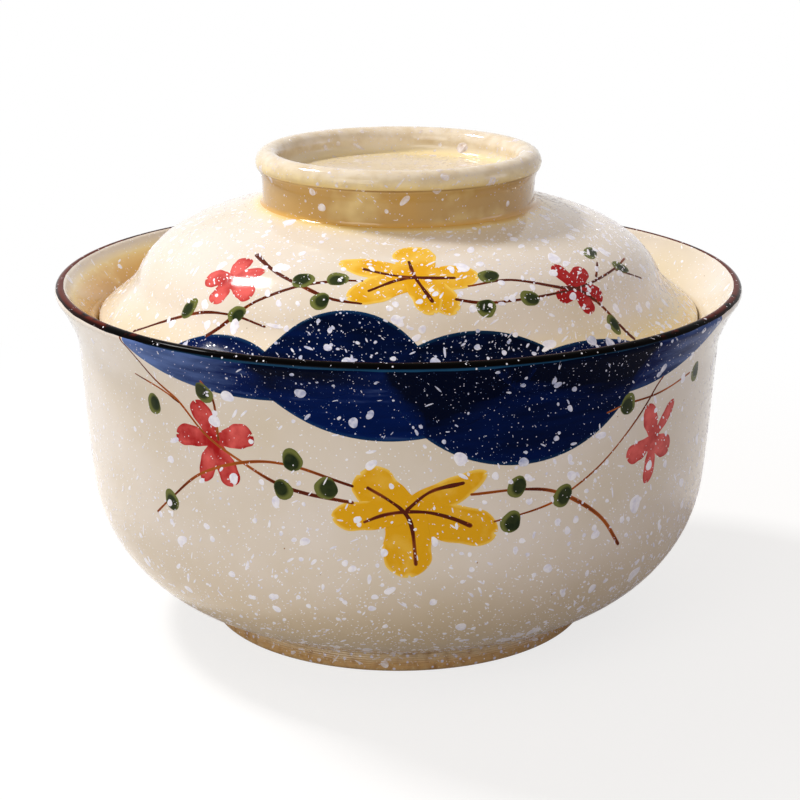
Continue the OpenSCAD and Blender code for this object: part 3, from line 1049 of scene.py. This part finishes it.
def knob_glaze(bowl, lid, paint):
    """The ivory glaze on the knob, where it ran: wheat with honey runs on the side, and honey at the neck.

    The roll and the dish are mottled with sand, and a broken dark line of painted shade lies in the crease
    under the roll.
    """
    material, tree, where = new_material("knob_glaze")
    _, (neck, _), *_ = lid_stations(bowl, lid)
    neck_z = neck[1] / MM
    crease_z = (lid.knob_top - lid.roll_t / 2 * (1 + np.sin(lid.crease_angle))) / MM
    flat = add(tree, "VectorMath", {0: where, 1: (1, 1, 0)}, operation="MULTIPLY")
    radius = add(tree, "VectorMath", {0: flat}, "Value", operation="LENGTH")
    # The line of painted shade lies outside the ring only, and not at the same height in the dish.
    dish_r = lid.knob_d / 2 - lid.roll_t
    outside = add(tree, "MapRange", {"Value": radius, "From Min": dish_r + 1.1 * MM,
                                     "From Max": dish_r + 2.1 * MM, "To Max": 0.75},
                  interpolation_type="SMOOTHSTEP")
    under_roll = height_share(tree, where, crease_z + 0.3, crease_z)
    over_side = height_share(tree, where, crease_z - 0.5, crease_z - 0.1)
    # Painted shade: a broken dark line in the crease under the roll.
    line = cloud(tree, where, 20, 0.35, 0.6)
    for share in (under_roll, over_side, outside):
        line = add(tree, "Math", {0: line, 1: share}, operation="MULTIPLY")
    upper = height_share(tree, where, crease_z, crease_z + 1)
    mottled = add(tree, "Math", {0: cloud(tree, where, 3.5, 0.4, 0.85, 4), 1: upper}, operation="MULTIPLY")
    runs = add(tree, "Mapping", {"Vector": where, "Scale": (1, 1, 0.25)})
    wheat = layered(tree, paint.wheat, (cloud(tree, runs, 16, 0.5, 0.95), paint.honey))
    thin, thick = pooled(tree, where, 14)
    base = layered(
        tree, paint.ivory,
        (cloud(tree, where, 14, 0.35, 0.7), paint.ivory_shade),
        (thin, paint.straw),
        (thick, wheat),
        (mottled, paint.sand),
        (line, paint.tan_dark),
        (height_share(tree, where, neck_z + 1.5, neck_z - 0.3), paint.honey),
        (dust(tree, where, 1.1, 0.16, 0.5), paint.snow_thin),
    )
    fired(tree, base, Roughness=0.08, Normal=ripple(tree, where, 5, 0.06))
    return material


def foot_glaze(paint):
    """Thin iron-stained glaze on the foot, turned on the wheel: dark lines, and amber towards the table.

    It is mottled with sand and with iron, and pale specks lie in it.
    """
    material, tree, where = new_material("foot_glaze")
    squashed = add(tree, "Mapping", {"Vector": where, "Scale": (1, 1, 12)})
    lines = add(tree, "Math", {0: cloud(tree, squashed, 9, 0.45, 0.75), 1: 0.6}, operation="MULTIPLY")
    base = layered(
        tree, paint.tan,
        (lines, paint.tan_dark),
        (height_share(tree, where, 4.6, 2, 0.7), paint.amber),
        (cloud(tree, where, 4, 0.5, 0.85, 5), paint.sand),
        (cloud(tree, where, 2.2, 0.5, 0.9, 5), paint.tan_dark),
        (dust(tree, where, 0.9, 0.3, 0.4), paint.sand),
        (dust(tree, where, 1.7, 0.3, 0.5), paint.snow_thin),
    )
    fired(tree, base, Roughness=0.2, Normal=ripple(tree, squashed, 4, 0.05))
    return material


def cobalt_wash(paint):
    """Cobalt oxide brushed under the glaze: deep blue, thin and streaky where the brush ran dry.

    Tone is the wash's strength. A second wash over the first adds up to 1 to it, and is almost black.
    """
    material, tree, where = new_material("cobalt_wash")
    drawn = add(tree, "Mapping", {"Vector": where, "Scale": (1, 1, 6)})
    tone = add(tree, "Attribute", output="Fac", attribute_name="tone")
    streaks = cloud(tree, drawn, 14, 0.25, 0.75, 5)
    wet = add(tree, "Math", {0: streaks, 1: 0.45, 2: tone}, operation="MULTIPLY_ADD")
    thick = add(tree, "MapRange", {"Value": wet, "From Min": 0.8, "From Max": 1.5})
    thin = add(tree, "MapRange", {"Value": wet, "From Min": 0.82, "From Max": 0.26})
    edge = add(tree, "Math", {0: edge_share(tree, 1), 1: 0.25}, operation="MULTIPLY")
    base = layered(
        tree, paint.cobalt,
        (thick, paint.cobalt_dark),
        (thin, paint.cobalt_thin),
        (edge, paint.teal),
        (dust(tree, where, 0.55, 0.14, 0.4), paint.cobalt_thin),
        (dust(tree, where, 1.1, 0.15, 0.6), paint.snow_thin),
    )
    fired(tree, base, Specular_IOR_Level=0.018, Normal=ripple(tree, where, 7, 0.05))
    return material


def iron_glaze(paint):
    """Iron-brown glaze on the rim, brushed on the wheel: near black where thick, rust where it ran thin.

    The brush was loaded at the front and the back, where tone is 1. The band is thin on the crest, and
    along its lower edge it drew a pale line of cobalt out of the washes.
    """
    material, tree, where = new_material("iron_glaze")
    tone = add(tree, "Attribute", output="Fac", attribute_name="tone")
    across = add(tree, "Attribute", output="Fac", attribute_name="edge")
    patches = cloud(tree, where, 6, 0.3, 0.7, 5)
    worn = add(tree, "Math", {0: patches, 1: 0.65, 2: tone}, operation="MULTIPLY_ADD")
    thin = add(tree, "MapRange", {"Value": worn, "From Min": 0.72, "From Max": 0.56})
    crest = add(tree, "MapRange", {"Value": across, "From Min": 0.7, "From Max": 0.1, "To Max": 0.7})
    width = BAND_EDGES[1] + BAND_SWELL - BAND_EDGES[0]
    low = add(tree, "MapRange", {"Value": across, "From Min": width - 0.6, "From Max": width - 0.3,
                                 "To Max": 0.5})
    blue = add(tree, "Math", {0: low, 1: tone}, operation="MULTIPLY")
    rolled = add(tree, "MapRange", {"Value": across, "From Min": 1.2, "From Max": 1.8, "To Max": 0.9})
    base = layered(
        tree, paint.iron,
        (thin, paint.iron_thin),
        (crest, paint.iron_thin),
        (rolled, paint.iron),
        (blue, paint.teal),
        (dust(tree, where, 1.3, 0.2, 0.3), paint.snow),
    )
    fired(tree, base, Specular_IOR_Level=0.016, Normal=ripple(tree, where, 4, 0.04))
    return material


def enamel(name, thick, thin, paint, streak, edge_load):
    """Overglaze enamel put on with one dab of the brush: streaky, and deeper where the brush was loaded.

    Along its edge it is deeper or paler by the edge's load, and specks of the white spatter lie on it.
    """
    material, tree, where = new_material(name)
    tone = add(tree, "Attribute", output="Fac", attribute_name="tone")
    streaks = cloud(tree, where, streak, 0.3, 0.7, 4)
    wet = add(tree, "Math", {0: streaks, 1: 0.8, 2: tone}, operation="MULTIPLY_ADD")
    wet = add(tree, "Math", {0: edge_share(tree, 0.9), 1: edge_load, 2: wet}, operation="MULTIPLY_ADD")
    load = add(tree, "MapRange", {"Value": wet, "From Min": 0.25, "From Max": 1.15})
    base = layered(tree, thin, (load, thick), (dust(tree, where, 1.1, 0.16, 0.35), paint.snow))
    fired(tree, base, Specular_IOR_Level=0.1, Normal=ripple(tree, where, 3, 0.03))
    return material


def leaf_enamel(paint):
    """Copper-green enamel in round drops: almost black where it is thick, olive and thin at the edge."""
    material, tree, where = new_material("leaf_enamel")
    uneven = add(tree, "Math", {0: cloud(tree, where, 2.5, 0.2, 0.8), 1: 0.25, 2: edge_share(tree, 0.9)},
                 operation="MULTIPLY_ADD")
    base = layered(tree, paint.green, (uneven, paint.olive), (dust(tree, where, 1.1, 0.16, 0.3), paint.snow))
    fired(tree, base, Specular_IOR_Level=0.08)
    return material


def vine_brown(paint):
    """Iron-brown line paint from a fine brush: rust, dark in the middle and where the brush was loaded."""
    material, tree, where = new_material("vine_brown")
    tone = add(tree, "Attribute", output="Fac", attribute_name="tone")
    inwards = add(tree, "Attribute", output="Fac", attribute_name="edge")
    wet = add(tree, "Math", {0: inwards, 1: 1.2, 2: tone}, operation="MULTIPLY_ADD")
    load = add(tree, "MapRange", {"Value": wet, "From Min": 0.3, "From Max": 1})
    dots = dust(tree, where, 1.2, 0.2, 0.25)
    base = layered(tree, paint.vine, (load, paint.vine_dark), (dots, paint.vine))
    fired(tree, base, Roughness=0.18, Specular_IOR_Level=0.08)
    return material


def snow_glaze(name, paint, ground, share):
    """Spattered tin-white glaze, opaque and glossy: faintly lavender where it is thin.

    On the drops that say so, a share of the ground's colour shows through in clouds.
    """
    material, tree, where = new_material(name)
    shows = add(tree, "Attribute", output="Fac", attribute_name="shows")
    shows = add(tree, "Math", {0: shows, 1: share}, operation="MULTIPLY")
    shows = add(tree, "Math", {0: shows, 1: cloud(tree, where, 1.2, 0.2, 0.7)}, operation="MULTIPLY")
    base = layered(tree, paint.snow, (cloud(tree, where, 1.5, 0.4, 0.75), paint.snow_thin), (shows, ground))
    fired(tree, base, Roughness=0.15)
    return material


class BOWL_OT_bowl(Operator):
    """Turn the bowl and its foot ring"""

    bl_idname = "noodle.bowl"
    bl_label = "Bowl and foot"

    def execute(self, context):
        bowl = context.scene.noodle_bowl
        paint = context.scene.noodle_paint
        add_turned("bowl_wall", bowl_skin(bowl), BOWL_POOLS, ivory_glaze(paint), "bowl",
                   "bowl_body", shade_drift=BOWL_POOL_SHADE_DRIFT)
        add_turned("turned_foot", foot_skin(bowl), FOOT_POOLS, foot_glaze(paint), "bowl",
                   "foot_ring", closed=True)
        return {"FINISHED"}


class BOWL_OT_lid(Operator):
    """Turn the lid and its knob ring"""

    bl_idname = "noodle.lid"
    bl_label = "Lid and knob"

    def execute(self, context):
        bowl = context.scene.noodle_bowl
        lid = context.scene.noodle_lid
        paint = context.scene.noodle_paint
        add_turned("lid_shell", lid_skin(bowl, lid), LID_POOLS, ivory_glaze(paint), "lid",
                   "lid_dome", shade_drift=LID_POOL_SHADE_DRIFT)
        add_turned("lid_knob", knob_skin(bowl, lid), KNOB_POOLS, knob_glaze(bowl, lid, paint), "lid",
                   "knob_ring")
        return {"FINISHED"}


class BOWL_OT_rim(Operator):
    """Brush the iron-brown band on the bowl's rim"""

    bl_idname = "noodle.rim"
    bl_label = "Iron rim"

    def execute(self, context):
        scene = context.scene
        rng = np.random.default_rng(scene.noodle_spatter.seed)
        angle = np.arange(2 * AROUND) * 180 / AROUND
        count, depth = np.array(BAND_WAVES).T[..., None]
        phase = rng.uniform(0, TURN, (len(BAND_WAVES), 1))
        wander = (depth * np.sin(np.radians(count * angle) + phase)).sum(0)
        inner = BAND_EDGES[0] + BAND_WANDER[0] * wander
        outer = BAND_EDGES[1] + BAND_WANDER[1] * wander + BAND_SWELL * np.cos(np.radians(2 * angle))
        v = eased(BAND_ROWS)[:, None]
        along = inner * (1 - v) + outer * v
        loaded = 0.5 + 0.5 * np.cos(np.radians(2 * (angle - BAND_LOADED))) + 0.4 * wander
        made = coat(bowl_skin(scene.noodle_bowl), angle + 0 * v, along, RIM_LIFT + 0 * along,
                    along - BAND_EDGES[0], loaded, wrap=True)
        add_coats("iron_rim", [made], iron_glaze(scene.noodle_paint), "bowl")
        return {"FINISHED"}


def grounds(scene):
    """The bowl and the lid as grounds to paint on, with the names of their bodies."""
    lid = lid_skin(scene.noodle_bowl, scene.noodle_lid)
    return ("bowl", bowl_skin(scene.noodle_bowl)), ("lid", lid)


class BOWL_OT_cobalt(Operator):
    """Brush the round cobalt washes that hang from the rim and rise from the brim"""

    bl_idname = "noodle.cobalt"
    bl_label = "Cobalt washes"

    def execute(self, context):
        scene = context.scene
        blue = cobalt_wash(scene.noodle_paint)
        drawn = {"bowl": SCALLOPS, "lid": HILLS}
        for body, skin in grounds(scene):
            made = [wash for turned in SIDES for wash in washes(skin, *drawn[body], turned)]
            add_coats(body + "_cobalt", made, blue, body)
        return {"FINISHED"}


class BOWL_OT_flowers(Operator):
    """Dab the red and the yellow flowers"""

    bl_idname = "noodle.flowers"
    bl_label = "Flowers"

    def execute(self, context):
        scene = context.scene
        paint = scene.noodle_paint
        rng = np.random.default_rng(scene.noodle_spatter.seed + 1)
        red = enamel("red_enamel", paint.red, paint.red_thin, paint, streak=4, edge_load=0.3)
        yellow = enamel("yellow_enamel", paint.yellow_thick, paint.yellow, paint, streak=6, edge_load=-0.9)
        kinds = (("red", red, RED_PETAL), ("yellow", yellow, YELLOW_PETAL))
        drawn = {"bowl": (BOWL_RED, BOWL_YELLOW), "lid": (LID_RED, LID_YELLOW)}
        for body, skin in grounds(scene):
            for (name, glaze, form), flowers in zip(kinds, drawn[body]):
                dabs = [
                    petal(skin, (angle + turned, along), shape, form, load, FLOWER_LIFT + i * DAB_STEP, rng)
                    for turned in SIDES
                    for (angle, along), load, shapes in flowers
                    for i, shape in enumerate(shapes)
                ]
                add_coats(f"{body}_{name}_flowers", dabs, glaze, body)
        return {"FINISHED"}


class BOWL_OT_vines(Operator):
    """Draw the brown vines, the veins of the yellow flowers and the green leaves"""

    bl_idname = "noodle.vines"
    bl_label = "Vines and leaves"

    def execute(self, context):
        scene = context.scene
        rng = np.random.default_rng(scene.noodle_spatter.seed + 2)
        brown = vine_brown(scene.noodle_paint)
        green = leaf_enamel(scene.noodle_paint)
        drawn = {
            "bowl": (BOWL_BRUSH, BOWL_VINES, BOWL_VEINS, BOWL_LEAVES),
            "lid": (LID_BRUSH, LID_VINES, LID_VEINS, LID_LEAVES),
        }
        for body, skin in grounds(scene):
            (load, wide), vines, veins, leaves = drawn[body]
            lines = [stroke(skin, np.add(places, (turned, 0)), (wide * start, wide * end), load, rng)
                     for turned in SIDES for start, end, places in vines]
            add_coats(body + "_vines", lines, brown, body)
            lines = [stroke(skin, np.add(places, (turned, 0)), VEIN_WIDTHS, VEIN_LOAD, rng)
                     for turned in SIDES for places in veins]
            add_coats(body + "_veins", lines, brown, body)
            dabs = [leaf(skin, (angle + turned, along), *shape, rng)
                    for turned in SIDES for angle, along, *shape in leaves]
            add_coats(body + "_leaves", dabs, green, body)
        return {"FINISHED"}


def low_down(along):
    """Share of drops on the bowl: few inside and near the rim, and more and more down to the foot."""
    return np.where(along < 0, 0.3, 0.4 + 1.2 * np.clip((along - 20) / 60, 0, 1))


def plenty(along):
    """Share of drops on the lid and the foot: many everywhere."""
    return 1.4 + 0 * along


def less_below(along):
    """Share of drops on the knob: many in the dish and on the roll, few on the side."""
    return np.where(along < 43, 1.1, 0.4)


class BOWL_OT_spatter(Operator):
    """Spatter the white glaze over the bowl, its foot, the lid and the knob"""

    bl_idname = "noodle.spatter"
    bl_label = "White spatter"

    def execute(self, context):
        scene = context.scene
        amount = scene.noodle_spatter
        rng = np.random.default_rng(amount.seed + 3)
        paint = scene.noodle_paint
        white = snow_glaze("snow_glaze", paint, ground=paint.cobalt_thin, share=0.7)
        thin_white = snow_glaze("thin_snow_glaze", paint, ground=paint.wheat, share=0.6)
        (_, bowl), (_, lid) = grounds(scene)
        foot = foot_skin(scene.noodle_bowl)
        knob = knob_skin(scene.noodle_bowl, scene.noodle_lid)
        # Body, name, ground, stretch along it in millimetres, share of drops, flight, washes and glaze.
        places = (
            ("bowl", "wall", bowl, (-32, 45), low_down, BOWL_FLIGHT, SCALLOPS, white),
            ("bowl", "belly", bowl, (45, 99), low_down, BOWL_FLIGHT, SCALLOPS, white),
            ("bowl", "foot", foot, (0.6, 5.8), plenty, FOOT_FLIGHT, None, thin_white),
            ("lid", "lid", lid, (2, 53), plenty, LID_FLIGHT, HILLS, white),
            ("lid", "knob", knob, (0, 52), less_below, LID_FLIGHT, None, thin_white),
        )
        for body, part, skin, span, weight, flight, cobalt, glaze in places:
            for kind, shape in DROP_KINDS.items():
                density = getattr(amount, kind)
                radius = getattr(amount, kind + "_r")
                points, faces, shows = drops(skin, rng, span, weight, flight, cobalt, density, radius, shape)
                add_piece(f"{part}_{kind}_spatter", points, faces, glaze, body,
                          {"shows": shows}, smooth=False)
        return {"FINISHED"}


def seen_directly(tree):
    """Share that is 1 where the studio is seen, directly, in gloss or through glass, and 0 for its light."""
    camera = add(tree, "LightPath", output="Is Camera Ray")
    glossy, through_glass = (camera.node.outputs[key] for key in ("Is Glossy Ray", "Is Transmission Ray"))
    either = add(tree, "Math", {0: camera, 1: glossy}, operation="MAXIMUM")
    return add(tree, "Math", {0: either, 1: through_glass}, operation="MAXIMUM")


class BOWL_OT_stage(Operator):
    """Set the floor, the lamps, the world and the camera"""

    bl_idname = "noodle.stage"
    bl_label = "Studio"

    def execute(self, context):
        scene = context.scene
        self.floor(scene)
        self.lamps(scene)
        self.world(scene)
        self.camera(scene)
        scene.view_settings.view_transform = "Standard"
        return {"FINISHED"}

    def camera(self, scene):
        """Camera in front of the bowl, tilted down to it."""
        lens = bpy.data.cameras.new("camera")
        lens.lens = CAMERA_LENS
        lens.sensor_width = CAMERA_SENSOR
        camera = bpy.data.objects.new("camera", lens)
        camera.location = CAMERA_PLACE
        camera.rotation_euler = (np.radians(CAMERA_TILT), 0, 0)
        scene.collection.objects.link(camera)
        scene.camera = camera

    def floor(self, scene):
        """White paper floor: it keeps the object's shadow and fades to plain white further out."""
        mesh = bpy.data.meshes.new("floor")
        far = FLOOR_REACH
        corners = [(-far, -far, 0), (far, -far, 0), (far, far, 0), (-far, far, 0)]
        mesh.from_pydata(corners, [], [(0, 1, 2, 3)])
        piece = bpy.data.objects.new("floor", mesh)
        scene.collection.objects.link(piece)
        material, tree, where = new_material("white_paper")
        away = add(tree, "VectorMath", {0: where}, "Value", operation="LENGTH")
        camera = add(tree, "LightPath", output="Is Camera Ray")
        near = add(tree, "Math", {0: camera, 1: FLOOR_SHARE}, operation="MULTIPLY")
        fade = add(tree, "MapRange", {"Value": away, "From Min": FLOOR_FADE[0], "From Max": FLOOR_FADE[1],
                                      "To Min": near}, interpolation_type="SMOOTHSTEP")
        seen = seen_directly(tree)
        shown = add(tree, "Math", {0: seen, 1: fade}, operation="MULTIPLY")
        paper = layered(tree, linear(PAPER_BOUNCE), (seen, linear(PAPER)))
        matt = add(tree, "BsdfDiffuse", {"Color": paper})
        plain = add(tree, "Emission", {"Color": linear(WHITE), "Strength": 1})
        add(tree, "OutputMaterial", {"Surface": add(tree, "MixShader", {0: shown, 1: matt, 2: plain})})
        mesh.materials.append(material)

    def lamps(self, scene):
        """Soft lamps that each face the object."""
        for name, (direction, distance, side, watts, tint) in LAMPS.items():
            lamp = bpy.data.lights.new(name, "AREA")
            lamp.size = side
            lamp.energy = watts
            lamp.color = linear(tint)
            lamp_object = bpy.data.objects.new(name, lamp)
            back = Vector(direction).normalized()
            lamp_object.location = Vector(LAMP_TARGET) + back * distance
            lamp_object.rotation_euler = back.to_track_quat("Z", "Y").to_euler()
            scene.collection.objects.link(lamp_object)

    def world(self, scene):
        """Plain soft light all round, which the camera sees as white."""
        world = bpy.data.worlds.new("studio")
        world.use_nodes = True
        tree = world.node_tree
        tree.nodes.clear()
        room = tuple(ROOM_LEVEL * c for c in linear(ROOM_COLOUR))
        light = layered(tree, room, (seen_directly(tree), linear(WHITE)))
        add(tree, "OutputWorld", {"Surface": add(tree, "Background", {"Color": light, "Strength": 1})})
        scene.world = world


OPERATORS = (BOWL_OT_bowl, BOWL_OT_lid, BOWL_OT_rim, BOWL_OT_cobalt, BOWL_OT_flowers, BOWL_OT_vines,
             BOWL_OT_spatter, BOWL_OT_stage)
GROUPS = {"noodle_bowl": BOWL_PG_bowl, "noodle_lid": BOWL_PG_lid, "noodle_paint": BOWL_PG_paint,
          "noodle_spatter": BOWL_PG_spatter}


class BOWL_PT_panel(Panel):
    """Sizes, colours and steps of the noodle bowl"""

    bl_idname = "BOWL_PT_panel"
    bl_label = "Noodle Bowl"
    bl_space_type = "VIEW_3D"
    bl_region_type = "UI"
    bl_category = "Noodle Bowl"

    def draw(self, context):
        for step in OPERATORS:
            self.layout.operator(step.bl_idname)
        for key, group in GROUPS.items():
            box = self.layout.box()
            for name in group.__annotations__:
                box.prop(getattr(context.scene, key), name)


def register():
    """Registers the groups, the operators and the panel."""
    for made in (*GROUPS.values(), *OPERATORS, BOWL_PT_panel):
        bpy.utils.register_class(made)
    for key, group in GROUPS.items():
        setattr(bpy.types.Scene, key, PointerProperty(type=group))


def unregister():
    """Takes away what register added."""
    for key in GROUPS:
        delattr(bpy.types.Scene, key)
    for made in (BOWL_PT_panel, *reversed(OPERATORS), *reversed(tuple(GROUPS.values()))):
        bpy.utils.unregister_class(made)


def main():
    """Builds the bowl step by step."""
    register()
    for step in OPERATORS:
        group, name = step.bl_idname.split(".")
        getattr(getattr(bpy.ops, group), name)()


if __name__ == "__main__":
    main()
